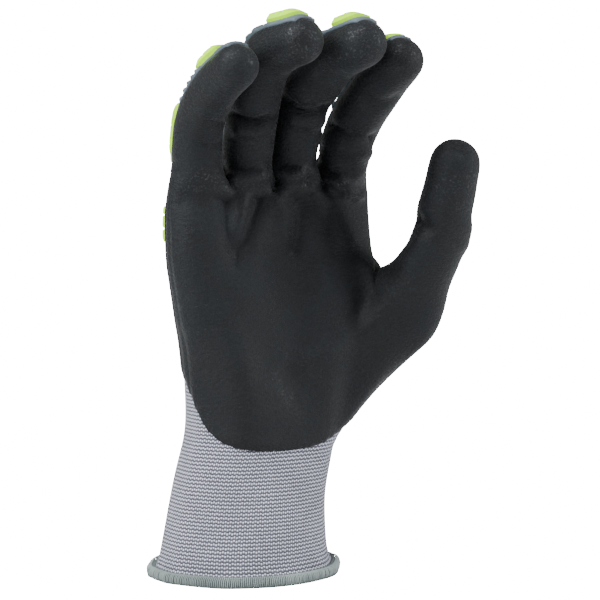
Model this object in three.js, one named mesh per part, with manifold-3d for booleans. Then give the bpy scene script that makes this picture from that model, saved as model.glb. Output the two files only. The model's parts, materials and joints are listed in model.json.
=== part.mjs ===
import * as THREE from 'three';
import { mergeVertices } from 'three/addons/utils/BufferGeometryUtils.js';
import Module from 'manifold-3d';

// Impact glove for the right hand, shown as worn with the fingers half curled. Sizes are in mm.
// +Z runs from the cuff to the fingertips, the palm faces -Y and the thumb is on the +X side.
// The origin is the centre of the wrist opening.

// Driving dimensions
const palmHeight = 156; // hem to the roots of the fingers
const palmWidth = 90; // across the knuckles, knit only
const palmDepth = 33; // through the knuckles, knit only
const knitWall = 1.2;
const coatWall = 0.8;
const baseWall = 1.0; // grey rubber sheet under the pads
const padHeight = 2.8;
const handPadHeight = 3.2;
const clearance = 0.35; // between neighbouring pieces
const hemHeight = 4.6;
const hemWall = 1.1;

// Layers counted outward from the knit surface
const coatOuter = clearance + coatWall;
const overCoat = coatOuter + clearance;
const fingerBaseOuter = overCoat + baseWall;
const handBaseOuter = clearance + baseWall;
const hemFoot = hemWall + clearance; // the knit starts this high, inside the folded hem

// The palm tube has rows of points: 9 across the palm, 3 up the thumb edge, 9 back across the hand
// and 3 down the little-finger edge. Every second palm point lies between two fingers.
const acrossPoints = 9;
const edgePoints = 3;
const acrossReach = 0.955; // share of the half width that the 9 points span
const edgeDepth = 0.15; // share of the depth at which the edge points stand off the middle

// height: share of palmHeight. centre, width: shares of palmWidth. palm, back: depths as shares of
// palmDepth. power: how boxy the section is. littleMound, hollow, thumbMound: shares of palmDepth.
const palmColumns = [
  'height', 'centre', 'width', 'palm', 'back', 'power', 'littleMound', 'hollow', 'thumbMound',
];
const palmTable = [
  [0.000, 0.005, 0.872, 1.08, 1.05, 2.0, 0.00, 0.00, 0.00],
  [0.024, 0.005, 0.825, 1.02, 0.99, 2.0, 0.00, 0.00, 0.00],
  [0.060, 0.005, 0.795, 0.97, 0.94, 2.0, 0.00, 0.00, 0.00],
  [0.130, 0.014, 0.765, 0.93, 0.90, 2.0, 0.00, 0.00, 0.00],
  [0.210, 0.030, 0.745, 0.88, 0.85, 2.0, 0.01, 0.00, 0.00],
  [0.295, 0.064, 0.745, 0.80, 0.79, 2.1, 0.03, 0.01, 0.02],
  [0.379, 0.116, 0.785, 0.74, 0.71, 2.2, 0.06, 0.03, 0.06],
  [0.476, 0.138, 0.830, 0.68, 0.65, 2.3, 0.09, 0.07, 0.12],
  [0.579, 0.146, 0.875, 0.62, 0.59, 2.4, 0.10, 0.11, 0.17],
  [0.683, 0.150, 0.940, 0.58, 0.54, 2.5, 0.10, 0.13, 0.18],
  [0.780, 0.150, 0.995, 0.54, 0.51, 2.6, 0.09, 0.13, 0.13],
  [0.846, 0.142, 1.015, 0.51, 0.49, 2.6, 0.07, 0.09, 0.06],
  [0.935, 0.134, 1.010, 0.46, 0.46, 2.6, 0.03, 0.03, 0.00],
  [1.000, 0.136, 1.000, 0.38, 0.41, 2.6, 0.00, 0.00, 0.00],
];
const moundPlaces = { littleMound: -0.62, hollow: 0.05, thumbMound: 0.68 };
const moundSpread = 0.34;
const archRise = 2.5; // the long fingers' knuckles stand this much farther back
const webRise = 6.5;

// The thumb leaves the palm tube through a window in its side
const thumbRows = { first: 6, last: 11 };
const thumbColumns = { first: 7, last: 10 };

// root: where the centreline starts, as shares of palmWidth, palmDepth and palmHeight. bones: lengths.
// bends: from +Z toward the palm side; leans: toward the thumb side; both in degrees. Half widths and
// depths: at the root and each joint. ribs and tipPad, the pad near the tip: ring numbers.
const fingers = [
  {
    name: 'pinky',
    root: [-0.2333, 0, 1.0192],
    bones: [27.5, 19.7, 18.3],
    bends: [16, 45, 61],
    leans: [-5.4, -1, 3.4],
    halfWidths: [9.3, 8.8, 8.2, 7.7],
    halfDepths: [9.8, 8.9, 8.2, 7.6],
    ribs: [6.5, 7.3],
    tipPad: [8.0, 10.4],
  },
  {
    name: 'ring',
    root: [0.0244, 0.076, 1.0256],
    bones: [32.5, 28.3, 20],
    bends: [22, 37, 74],
    leans: [-4.3, -4.5, 10],
    halfWidths: [9.1, 9.2, 8.9, 8.2],
    halfDepths: [10.2, 9.6, 8.9, 8.2],
    ribs: [7.1, 7.8],
    tipPad: [9.0, 11.4],
  },
  {
    name: 'middle',
    root: [0.2622, 0.076, 1.0321],
    bones: [33.5, 28.7, 20.2],
    bends: [26, 47, 71],
    leans: [-3.8, 3.4, 7.2],
    halfWidths: [9.3, 9.8, 9.5, 8.6],
    halfDepths: [10.4, 9.8, 9.1, 8.4],
    ribs: [7.1, 7.8],
    tipPad: [9.2, 11.4],
  },
  {
    name: 'index',
    root: [0.5022, -0.021, 1.0167],
    bones: [24.7, 28.4, 19.2],
    bends: [26, 47.7, 56.5],
    leans: [-1.8, 1, 2],
    halfWidths: [9.2, 9.7, 9.4, 8.3],
    halfDepths: [10.2, 9.6, 8.9, 8.1],
    ribs: [7.1, 7.8],
    tipPad: [9.0, 11.5],
  },
];
const thumb = {
  name: 'thumb',
  root: [0.4111, -0.061, 0.7051],
  bones: [26.9, 25.0, 31.2, 18.0],
  bends: [108, 36, 24.7, 18.8],
  leans: [53, 22.6, 4.8, 1.5],
  halfWidths: [14, 11, 11.0, 10.2, 9.0],
  halfDepths: [30, 20.5, 11.6, 10.0, 9.2],
};
const fingerSide = new THREE.Vector3(1, 0, 0);
const thumbSide = new THREE.Vector3(0.75, 0.66, 0);
const fingerStart = 240; // degrees from the side direction to a ring's first point

// Places of the rings on each bone, as shares of its length, and on the rounded end, in degrees
const fingerRings = [[0.34, 0.5, 0.66, 0.82, 1], [0.34, 0.67, 1], [0.35, 0.7, 1]];
const thumbRings = [[1], [0.35, 0.7, 1], [0.3, 0.55, 0.8, 1], [0.35, 0.7, 1]];
const endAngles = [32, 62];

// The coat leaves bare the back strip of each digit up to a ring near its tip; the strips run
// between these ring points
const fingerStrip = { first: 6, last: 8, rings: 10 };
const thumbStrip = { first: 4, last: 7, rings: 10 };

// The coat's lower border, from the thumb edge to the little-finger edge: places across the view from
// coatView degrees round toward the little finger, and heights
const coatFirstRow = 5;
const coatView = 30;
const coatBorder = [
  [60, 66], [42, 61], [37, 56.5], [30, 54], [19, 53], [5, 53.8], [-4, 55.6], [-10, 58.2], [-15, 62.7],
  [-18, 69], [-20.5, 76], [-24, 84], [-30, 92],
];
const cutterReach = 80;

// Guards on the fingers, in ring numbers from the root and ring points each side of the back centre
const fingerBack = 7;
const guardReach = 1.33;
const padReach = 1;
const guardSpan = [0.62, 12];
const rootPad = [1, 5.4];
const ribHalf = 0.22;
const ribHeight = 1.3;
const padChamfer = 1.4;

// Guards on the back of the hand, in row numbers up the palm tube and point numbers around it
const handBase = { rows: [7.4, 12.8], around: [12.4, 19.45] };
const knucklePad = { rows: [11.3, 12.65], reach: 0.78 };
const handRim = 0.12; // bare edge of the sheet, in points
const handPad = { rows: [7.9, 10.9], reach: 0.74 };

const toRadians = THREE.MathUtils.degToRad;
const points = [];
const faces = [];

function addPoint(x, y, z) {
  points.push(new THREE.Vector3(x, y, z));
  return points.length - 1;
}

function bell(distance) {
  return Math.exp(-((distance / moundSpread) ** 2));
}

function palmRow(values) {
  const row = Object.fromEntries(palmColumns.map((name, column) => [name, values[column]]));
  const z = hemFoot + row.height * (palmHeight - hemFoot);
  const centre = row.centre * palmWidth;
  const half = (row.width * palmWidth) / 2;
  const round = (u) => Math.sqrt(1 - Math.abs(u) ** row.power);
  const arch = (u) => archRise * row.height ** 2 * (1 - 1.3 * u * u);
  const mounds = (u) => (
    row.littleMound * bell(u - moundPlaces.littleMound)
    - row.hollow * bell(u - moundPlaces.hollow)
    + row.thumbMound * bell(u - moundPlaces.thumbMound)
  );
  const across = Array.from({ length: acrossPoints }, (_, n) => acrossReach * (n / 4 - 1));
  const palmFall = (u) => palmDepth * (row.palm * round(u) + mounds(u));
  const palmPoint = (u) => addPoint(centre + u * half, arch(u) - palmFall(u), z);
  const backPoint = (u) => addPoint(centre + u * half, arch(u) + palmDepth * row.back * round(u), z);
  const edgePoint = (side, n) => {
    const depth = palmDepth * (n < 0 ? row.palm : row.back);
    return addPoint(centre + side * half * (1 - 0.012 * n * n), arch(1) + n * depth * edgeDepth, z);
  };
  return [
    ...across.map(palmPoint),
    ...[-1, 0, 1].map((n) => edgePoint(1, n)),
    ...across.toReversed().map(backPoint),
    ...[1, 0, -1].map((n) => edgePoint(-1, n)),
  ];
}

// The point number on the back of a palm row that faces a given palm point
function backColumn(column) {
  return 2 * acrossPoints + edgePoints - 1 - column;
}

function joinRings(lower, upper, part, row, skip = () => false) {
  lower.forEach((id, n) => {
    const next = (n + 1) % lower.length;
    if (!skip(n)) {
      faces.push({ ids: [id, lower[next], upper[next], upper[n]], part, row, column: n });
    }
  });
}

// A ring of points around a centreline; side is the direction of its 0 degrees
function addRing(centre, tangent, side, halfSide, halfUp, size, start) {
  const across = side.clone().addScaledVector(tangent, -side.dot(tangent)).normalize();
  const up = tangent.clone().cross(across);
  return Array.from({ length: size }, (_, n) => {
    const angle = toRadians(start) + (n * 2 * Math.PI) / size;
    const point = centre.clone()
      .addScaledVector(across, halfSide * Math.cos(angle))
      .addScaledVector(up, halfUp * Math.sin(angle));
    return addPoint(point.x, point.y, point.z);
  });
}

function centreline(digit) {
  const [across, through, up] = digit.root;
  const joints = [new THREE.Vector3(across * palmWidth, through * palmDepth, up * palmHeight)];
  digit.bones.forEach((length, bone) => {
    const bend = toRadians(digit.bends[bone]);
    const lean = toRadians(digit.leans[bone]);
    const reach = Math.cos(lean);
    const step = new THREE.Vector3(Math.sin(lean), -reach * Math.sin(bend), reach * Math.cos(bend));
    joints.push(joints.at(-1).clone().addScaledVector(step, length));
  });
  return new THREE.CatmullRomCurve3(joints);
}

// A digit grows from a ring of points that the palm already has and returns all its rings
function addDigit(digit, firstRing, ringShares, side, start) {
  const curve = centreline(digit);
  const size = firstRing.length;
  const rings = [firstRing];
  ringShares.forEach((shares, bone) => shares.forEach((share) => {
    const place = (bone + share) / digit.bones.length;
    const halfSide = THREE.MathUtils.lerp(digit.halfWidths[bone], digit.halfWidths[bone + 1], share);
    const halfUp = THREE.MathUtils.lerp(digit.halfDepths[bone], digit.halfDepths[bone + 1], share);
    rings.push(addRing(curve.getPoint(place), curve.getTangent(place), side, halfSide, halfUp, size, start));
  }));
  const end = curve.getPoint(1);
  const tangent = curve.getTangent(1);
  const endWidth = digit.halfWidths.at(-1);
  const endDepth = digit.halfDepths.at(-1);
  const endReach = (endWidth + endDepth) / 2;
  endAngles.map(toRadians).forEach((turn) => {
    const centre = end.clone().addScaledVector(tangent, endReach * Math.sin(turn));
    const shrink = Math.cos(turn);
    rings.push(addRing(centre, tangent, side, endWidth * shrink, endDepth * shrink, size, start));
  });
  rings.slice(1).forEach((ring, row) => joinRings(rings[row], ring, digit.name, row));
  const pole = addPoint(...end.clone().addScaledVector(tangent, endReach));
  rings.at(-1).forEach((id, column) => {
    const next = rings.at(-1)[(column + 1) % size];
    faces.push({ ids: [id, next, pole], part: digit.name, row: rings.length - 1, column });
  });
  return rings;
}

// The skin: one surface for the knit, open only at the wrist
const palmRows = palmTable.map(palmRow);
palmRows.slice(1).forEach((upper, row) => {
  const besideThumb = row >= thumbRows.first && row < thumbRows.last;
  const inWindow = (column) => besideThumb && column >= thumbColumns.first && column < thumbColumns.last;
  joinRings(palmRows[row], upper, 'palm', row, inWindow);
});

const topRow = palmRows.at(-1);
const webs = [1, 2, 3].map((n) => {
  const palmSide = points[topRow[2 * n]];
  const backSide = points[topRow[backColumn(2 * n)]];
  return [[0.25, 0.9], [0.5, 1], [0.75, 0.75]].map(([share, rise]) => {
    const point = palmSide.clone().lerp(backSide, share);
    return addPoint(point.x, point.y, point.z + webRise * rise);
  });
});
const fingerGrids = fingers.map((finger, n) => {
  const firstRing = [
    ...[0, 1, 2].map((step) => topRow[2 * n + step]),
    ...(webs[n] ?? topRow.slice(acrossPoints, acrossPoints + edgePoints)),
    ...[2, 1, 0].map((step) => topRow[backColumn(2 * n + step)]),
    ...(webs[n - 1]?.toReversed() ?? topRow.slice(-edgePoints)),
  ];
  return addDigit(finger, firstRing, fingerRings, fingerSide, fingerStart);
});

const windowRows = palmRows.slice(thumbRows.first, thumbRows.last + 1);
const windowPart = (row) => row.slice(thumbColumns.first, thumbColumns.last + 1);
const thumbWindow = [
  ...windowPart(windowRows.at(0)),
  ...windowRows.slice(1, -1).map((row) => row[thumbColumns.last]),
  ...windowPart(windowRows.at(-1)).toReversed(),
  ...windowRows.slice(1, -1).toReversed().map((row) => row[thumbColumns.first]),
];
const windowStart = -90 - ((thumbColumns.last - thumbColumns.first) / 2) * (360 / thumbWindow.length);
const thumbGrid = addDigit(thumb, thumbWindow, thumbRings, thumbSide, windowStart);

const normals = points.map(() => new THREE.Vector3());
faces.forEach(({ ids }) => {
  const [a, b, c, d] = [...ids, ids[0]].map((id) => points[id]);
  const normal = c.clone().sub(a).cross(d.clone().sub(b));
  ids.forEach((id) => normals[id].add(normal));
});
normals.forEach((normal) => normal.normalize());

// At the wrist every layer ends level, so offsets there run level too
palmRows[0].forEach((id) => {
  normals[id].z = 0;
  normals[id].divideScalar(normals[id].lengthSq());
});

function raised(id, offset) {
  return points[id].clone().addScaledVector(normals[id], offset);
}

// A solid between two coverings of the same faces: corners are point keys, lower and upper give places
function shellBetween(cells, lower, upper) {
  const order = new Map();
  const positions = [];
  const triangles = [];
  const vertex = (key, place, level) => {
    const name = `${level}:${key}`;
    if (!order.has(name)) {
      order.set(name, positions.length / 3);
      positions.push(...place(key));
    }
    return order.get(name);
  };
  const addPolygon = (corners) => {
    for (let n = 2; n < corners.length; n += 1) {
      triangles.push(corners[0], corners[n - 1], corners[n]);
    }
  };
  const edges = new Set();
  cells.forEach((keys) => keys.forEach((key, n) => edges.add(`${key}>${keys[(n + 1) % keys.length]}`)));
  cells.forEach((keys) => {
    const top = keys.map((key) => vertex(key, upper, 'upper'));
    const bottom = keys.map((key) => vertex(key, lower, 'lower'));
    addPolygon(top);
    addPolygon([bottom[0], ...bottom.slice(1).reverse()]);
    keys.forEach((key, n) => {
      const next = (n + 1) % keys.length;
      if (!edges.has(`${keys[next]}>${key}`)) {
        addPolygon([top[next], top[n], bottom[n], bottom[next]]);
      }
    });
  });
  const geometry = new THREE.BufferGeometry();
  geometry.setAttribute('position', new THREE.Float32BufferAttribute(positions, 3));
  geometry.setIndex(triangles);
  return geometry;
}

function skinLayer(layerFaces, inner, outer) {
  const cells = layerFaces.map(({ ids }) => ids);
  return shellBetween(cells, (id) => raised(id, inner), (id) => raised(id, outer));
}

// A place on a grid of rings, between ring numbers and between point numbers, lifted off the skin
function gridPoint(grid, row, column, offset) {
  const firstRow = Math.min(Math.floor(row), grid.length - 2);
  const firstColumn = Math.floor(column);
  const corner = (r, c) => raised(grid[firstRow + r][(firstColumn + c) % grid[0].length], offset);
  const left = corner(0, 0).lerp(corner(1, 0), row - firstRow);
  const right = corner(0, 1).lerp(corner(1, 1), row - firstRow);
  return left.lerp(right, column - firstColumn);
}

// Both ends of a span, every whole number between them and any extra places
function linesOver([start, end], extra = []) {
  const near = 0.05;
  const whole = Array.from({ length: Math.ceil(end) }, (_, n) => n)
    .filter((n) => n > start + near && n < end - near);
  return [...new Set([start, ...whole, ...extra, end])].sort((a, b) => a - b);
}

// A patch over part of a grid: inner and outer give its offsets, and its outer rim is cut back
function patch(grid, rowLines, columnLines, inner, outer, chamfer) {
  const name = (r, c) => r * columnLines.length + c;
  const cells = [];
  rowLines.slice(1).forEach((_, r) => columnLines.slice(1).forEach((__, c) => {
    cells.push([name(r, c), name(r, c + 1), name(r + 1, c + 1), name(r + 1, c)]);
  }));
  const place = (r, c, offset) => {
    const [row, column] = [rowLines[r], columnLines[c]];
    return gridPoint(grid, row, column, offset(row, column));
  };
  const split = (key) => [Math.floor(key / columnLines.length), key % columnLines.length];
  const inward = (n, count) => (n === 0 ? 1 : 0) - (n === count - 1 ? 1 : 0);
  const upper = (key) => {
    const [r, c] = split(key);
    const point = place(r, c, outer);
    const moves = [[inward(r, rowLines.length), 0], [0, inward(c, columnLines.length)]];
    const result = point.clone();
    moves.filter((move) => move[0] || move[1]).forEach(([dr, dc]) => {
      const step = place(r + dr, c + dc, outer).sub(point);
      result.addScaledVector(step.normalize(), chamfer);
    });
    return result;
  };
  return shellBetween(cells, (key) => place(...split(key), inner), upper);
}

const wasm = await Module();
wasm.setup();

function toSolid(geometry) {
  const vertProperties = new Float32Array(geometry.attributes.position.array);
  const triVerts = new Uint32Array(geometry.index.array);
  return new wasm.Manifold(new wasm.Mesh({ numProp: 3, vertProperties, triVerts }));
}

function toGeometry(solid) {
  const { vertProperties, triVerts } = solid.getMesh();
  const geometry = new THREE.BufferGeometry();
  geometry.setAttribute('position', new THREE.BufferAttribute(vertProperties, 3));
  geometry.setIndex(new THREE.BufferAttribute(triVerts, 1));
  return geometry;
}

const glove = new THREE.Group();

function addPiece(name, geometry, looks) {
  const mesh = new THREE.Mesh(geometry, new THREE.MeshStandardMaterial(looks));
  mesh.name = name;
  glove.add(mesh);
}

// Knit body: the hand with the roots of its digits, and each digit from a low ring to its tip, which
// starts a small clearance above that ring
const knitLooks = { color: '#a4a4b8', roughness: 0.95, metalness: 0 };
const knitStart = (name) => (name === thumb.name ? 2 : 1);
const isRoot = ({ part, row }) => part === 'palm' || row < knitStart(part);
addPiece('knit_hand', skinLayer(faces.filter(isRoot), -knitWall, 0), knitLooks);

function startAbove(rings, start, offset) {
  return (id) => {
    const column = rings[start].indexOf(id);
    const place = raised(id, offset);
    if (column < 0) {
      return place;
    }
    const step = raised(rings[start + 1][column], offset).sub(place).normalize();
    return place.addScaledVector(step, clearance);
  };
}

function knitDigit(name, rings) {
  const start = knitStart(name);
  const cells = faces.filter(({ part, row }) => part === name && row >= start).map(({ ids }) => ids);
  const geometry = shellBetween(cells, startAbove(rings, start, -knitWall), startAbove(rings, start, 0));
  addPiece(`knit_${name}`, geometry, knitLooks);
}
fingers.forEach(({ name }, n) => knitDigit(name, fingerGrids[n]));
knitDigit(thumb.name, thumbGrid);

// Dipped coat
function isCoated({ part, row, column }) {
  if (part === 'palm') {
    return row >= coatFirstRow && (column < thumbColumns.last || column >= backColumn(0));
  }
  const strip = part === 'thumb' ? thumbStrip : fingerStrip;
  return row >= strip.rings || column < strip.first || column >= strip.last;
}

function coatCutter() {
  const outline = new THREE.Shape();
  outline.moveTo(-cutterReach, -cutterReach);
  outline.lineTo(cutterReach, -cutterReach);
  outline.lineTo(...coatBorder[0]);
  outline.splineThru(coatBorder.slice(1).map(([x, z]) => new THREE.Vector2(x, z)));
  outline.lineTo(-cutterReach, coatBorder.at(-1)[1]);
  outline.closePath();
  const options = { depth: 2 * cutterReach, bevelEnabled: false, curveSegments: 1 };
  const geometry = new THREE.ExtrudeGeometry(outline, options);
  geometry.translate(0, 0, -cutterReach);
  geometry.rotateX(Math.PI / 2);
  geometry.rotateZ(toRadians(-coatView));
  geometry.deleteAttribute('normal');
  geometry.deleteAttribute('uv');
  return mergeVertices(geometry);
}

const coat = toSolid(skinLayer(faces.filter(isCoated), clearance, coatOuter));
const coatLooks = { color: '#2a2c2f', roughness: 0.85, metalness: 0 };
addPiece('palm_coating', toGeometry(coat.subtract(toSolid(coatCutter()))), coatLooks);

// Folded hem: a band round the cuff with the knit's edge inside its fold
function foldedHem() {
  const [foot, next] = palmRows;
  const outside = clearance + hemWall;
  const inside = -knitWall - clearance;
  const section = [
    [outside, 0],
    [outside, hemHeight],
    [clearance, hemHeight],
    [clearance, hemWall],
    [inside, hemWall],
    [inside, hemHeight],
    [inside - hemWall, hemHeight],
    [inside - hemWall, 0],
  ];
  const cells = [];
  const name = (n, k) => (n % foot.length) * section.length + (k % section.length);
  foot.forEach((_, n) => section.forEach((__, k) => {
    cells.push([name(n, k), name(n + 1, k), name(n + 1, k + 1), name(n, k + 1)]);
  }));
  const positions = foot.flatMap((id, n) => section.flatMap(([offset, height]) => {
    const up = (height - points[id].z) / (points[next[n]].z - points[id].z);
    const spot = points[id].clone().lerp(points[next[n]], up);
    return spot.addScaledVector(normals[id], offset).toArray();
  }));
  const geometry = new THREE.BufferGeometry();
  geometry.setAttribute('position', new THREE.Float32BufferAttribute(positions, 3));
  geometry.setIndex(cells.flatMap(([a, b, c, d]) => [a, b, c, a, c, d]));
  return geometry;
}
addPiece('cuff_binding', foldedHem(), { color: '#8c9696', roughness: 0.95, metalness: 0 });

// Guards on the fingers: a ribbed strip over the back, with two raised pads
const slate = { color: '#646f79', roughness: 0.6, metalness: 0 };
const brightYellow = { color: '#c9ea2e', roughness: 0.55, metalness: 0 };
const padFoot = fingerBaseOuter + clearance;

fingers.forEach((finger, n) => {
  const grid = fingerGrids[n];
  const stripRing = (row) => row < fingerStrip.rings - 0.5;
  const underside = (row, column) => (column === fingerBack && stripRing(row) ? clearance : overCoat);
  const ribLines = finger.ribs.flatMap((place) => [-1, -0.45, 0.45, 1].map((side) => place + side * ribHalf));
  const onRib = (row) => finger.ribs.some((place) => Math.abs(row - place) < 0.6 * ribHalf);
  const topside = (row) => fingerBaseOuter + (onRib(row) ? ribHeight : 0);
  const across = linesOver([fingerBack - guardReach, fingerBack + guardReach]);
  const strip = patch(grid, linesOver(guardSpan, ribLines), across, underside, topside, 0);
  addPiece(`guard_base_${finger.name}`, strip, slate);

  const padAcross = linesOver([fingerBack - padReach, fingerBack + padReach]);
  [['root', rootPad], ['tip', finger.tipPad]].forEach(([part, span]) => {
    const pad = patch(grid, linesOver(span), padAcross, () => padFoot, () => padFoot + padHeight, padChamfer);
    addPiece(`guard_pad_${finger.name}_${part}`, pad, brightYellow);
  });
});

// Guards on the back of the hand
const handAround = linesOver(handBase.around);
const sheet = patch(palmRows, linesOver(handBase.rows), handAround, () => clearance, () => handBaseOuter, 0);
addPiece('hand_guard_base', sheet, slate);

const handPadFoot = handBaseOuter + clearance;
fingers.forEach((finger, n) => {
  const middle = backColumn(2 * n + 1);
  [['knuckle_pad', knucklePad], ['hand_pad', handPad]].forEach(([label, { rows, reach }]) => {
    const [first, last] = handBase.around;
    const start = Math.max(middle - reach, first + handRim);
    const end = Math.min(middle + reach, last - handRim);
    const across = linesOver([start, end]);
    const outer = () => handPadFoot + handPadHeight;
    const pad = patch(palmRows, linesOver(rows), across, () => handPadFoot, outer, padChamfer);
    addPiece(`${label}_${finger.name}`, pad, brightYellow);
  });
});

export default glove;
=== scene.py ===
import json
from math import cos, pi, radians, sin

import bpy
import numpy as np
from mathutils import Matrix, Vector

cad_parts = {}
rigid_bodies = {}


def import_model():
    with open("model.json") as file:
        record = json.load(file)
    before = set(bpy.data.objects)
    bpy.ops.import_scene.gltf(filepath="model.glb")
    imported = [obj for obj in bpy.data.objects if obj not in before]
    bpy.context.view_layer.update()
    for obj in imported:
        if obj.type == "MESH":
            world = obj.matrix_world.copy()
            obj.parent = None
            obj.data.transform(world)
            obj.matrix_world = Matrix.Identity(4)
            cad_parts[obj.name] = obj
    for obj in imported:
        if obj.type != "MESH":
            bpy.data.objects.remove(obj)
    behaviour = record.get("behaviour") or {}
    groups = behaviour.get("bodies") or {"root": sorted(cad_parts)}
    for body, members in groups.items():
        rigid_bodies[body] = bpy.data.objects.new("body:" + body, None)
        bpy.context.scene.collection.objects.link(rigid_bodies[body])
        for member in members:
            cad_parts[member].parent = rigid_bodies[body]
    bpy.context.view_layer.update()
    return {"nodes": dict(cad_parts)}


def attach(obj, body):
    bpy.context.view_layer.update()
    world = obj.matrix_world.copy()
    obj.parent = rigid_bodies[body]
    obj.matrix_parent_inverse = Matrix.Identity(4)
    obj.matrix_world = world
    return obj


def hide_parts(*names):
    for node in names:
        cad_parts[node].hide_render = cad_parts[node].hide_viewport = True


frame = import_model()
cadNodes = list(frame["nodes"])
fingerNames = ["pinky", "ring", "middle", "index"]
millimetre = 0.001
print("frame loaded:", len(cadNodes), "nodes")

# Camera, floor and light
viewValues = {
    "azimuth": -30.0,
    "elevation": 5.0,
    "distance": 1.0,
    "target": (0.02539, -0.00334, 0.11204),
    "lens": 144.58,
    "sensor": 36,
    "clipEnd": 20,
    "floorHalf": 3,
    "floorDrop": 0.0002,
    "floorRoughness": 0.9,
    "floorColor": (0.93, 0.93, 0.93, 1),
    "floorWhite": 22.0,
    "worldStrength": 0.25,
    "seenWhite": 22.0,
    "lightColor": (0.93, 0.97, 1.0),
    "lightSize": 0.5,
    # azimuth, elevation, distance and power
    "lights": {
        "keyLight": (-88, 40, 1.1, 19),
        "fillLight": (50, 24, 1.2, 13),
        "topLight": (-40, 66, 1.1, 8),
    },
}


def directionAt(azimuth, elevation):
    turn, lift = radians(azimuth), radians(elevation)
    return Vector((sin(turn) * cos(lift), -cos(turn) * cos(lift), sin(lift)))


def addObject(name, data):
    item = bpy.data.objects.new(name, data)
    bpy.context.collection.objects.link(item)
    return item


def addNode(tree, kind, inputs=(), **settings):
    node = tree.nodes.new(kind)
    for name, value in settings.items():
        setattr(node, name, value)
    for name, value in dict(inputs).items():
        if isinstance(value, bpy.types.NodeSocket):
            tree.links.new(value, node.inputs[name])
        else:
            node.inputs[name].default_value = value
    return node


def nodeInput(tree, name, kind, value):
    socket = tree.interface.new_socket(name, in_out="INPUT", socket_type=kind)
    if value is not None:
        socket.default_value = value
    return socket.identifier


def calc(tree, operation, *values):
    return addNode(tree, "ShaderNodeMath", dict(enumerate(values)), operation=operation).outputs[0]


def bakedMesh(holder):
    # The mesh that a holder's modifiers make; the holder goes
    made = bpy.data.meshes.new_from_object(holder.evaluated_get(bpy.context.evaluated_depsgraph_get()))
    bpy.data.objects.remove(holder)
    return made


def addCamera():
    back = directionAt(viewValues["azimuth"], viewValues["elevation"])
    camera = addObject("camera", bpy.data.cameras.new("camera"))
    camera.data.lens = viewValues["lens"]
    camera.data.sensor_width = viewValues["sensor"]
    camera.data.clip_end = viewValues["clipEnd"]
    camera.location = Vector(viewValues["target"]) + viewValues["distance"] * back
    camera.rotation_euler = back.to_track_quat("Z", "Y").to_euler()
    bpy.context.scene.camera = camera


def addSoftLight(name, azimuth, elevation, distance, power):
    light = bpy.data.lights.new(name, "AREA")
    light.energy = power
    light.size = viewValues["lightSize"]
    light.color = viewValues["lightColor"]
    holder = addObject(name, light)
    toward = directionAt(azimuth, elevation)
    holder.location = Vector(viewValues["target"]) + distance * toward
    holder.rotation_euler = toward.to_track_quat("Z", "Y").to_euler()


def addFloor():
    half = viewValues["floorHalf"]
    mesh = bpy.data.meshes.new("floor")
    corners = [(-half, -half, 0), (half, -half, 0), (half, half, 0), (-half, half, 0)]
    mesh.from_pydata(corners, [], [(0, 1, 2, 3)])
    floor = addObject("floor", mesh)
    floor.location.z = -viewValues["floorDrop"]
    material = bpy.data.materials.new("paleFloor")
    material.use_nodes = True
    tree = material.node_tree
    shader = tree.nodes["Principled BSDF"]
    shader.inputs["Base Color"].default_value = viewValues["floorColor"]
    shader.inputs["Roughness"].default_value = viewValues["floorRoughness"]
    shader.inputs["Emission Color"].default_value = (1, 1, 1, 1)
    seen = addNode(tree, "ShaderNodeLightPath").outputs["Is Camera Ray"]
    white = calc(tree, "MULTIPLY", seen, viewValues["floorWhite"])
    tree.links.new(white, shader.inputs["Emission Strength"])
    mesh.materials.append(material)


def addWorld():
    world = bpy.data.worlds.new("studio")
    world.use_nodes = True
    tree = world.node_tree
    sky = tree.nodes["Background"]
    sky.inputs["Color"].default_value = (1, 1, 1, 1)
    seen = addNode(tree, "ShaderNodeLightPath").outputs["Is Camera Ray"]
    ends = {"Value": seen, "To Min": viewValues["worldStrength"], "To Max": viewValues["seenWhite"]}
    white = addNode(tree, "ShaderNodeMapRange", ends).outputs["Result"]
    tree.links.new(white, sky.inputs["Strength"])
    bpy.context.scene.world = world


addCamera()
addFloor()
addWorld()
for name, values in viewValues["lights"].items():
    addSoftLight(name, *values)
print("camera, floor and lights placed")

# The hand skin: rows of points up the palm, rings of points along each digit. Sizes are in mm.
skinValues = {
    "palmHeight": 156.0,
    "palmWidth": 90.0,
    "palmDepth": 33.0,
    "hemFoot": 1.45,
    "acrossReach": 0.955,
    "edgeDepth": 0.15,
    "moundPlaces": (-0.62, 0.05, 0.68),
    "moundSpread": 0.34,
    "archRise": 2.5,
    "archBend": 1.3,
    "edgeDrawIn": 0.012,
    "webRise": 6.5,
    "webShape": [(0.25, 0.9), (0.5, 1), (0.75, 0.75)],  # share of the way to the back, share of the rise
    "thumbRows": (6, 11),
    "thumbColumns": (7, 10),
    "fingerStart": 240.0,
    "endAngles": (32, 62),
    "levels": 3,
    "corrections": 4,
}
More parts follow.
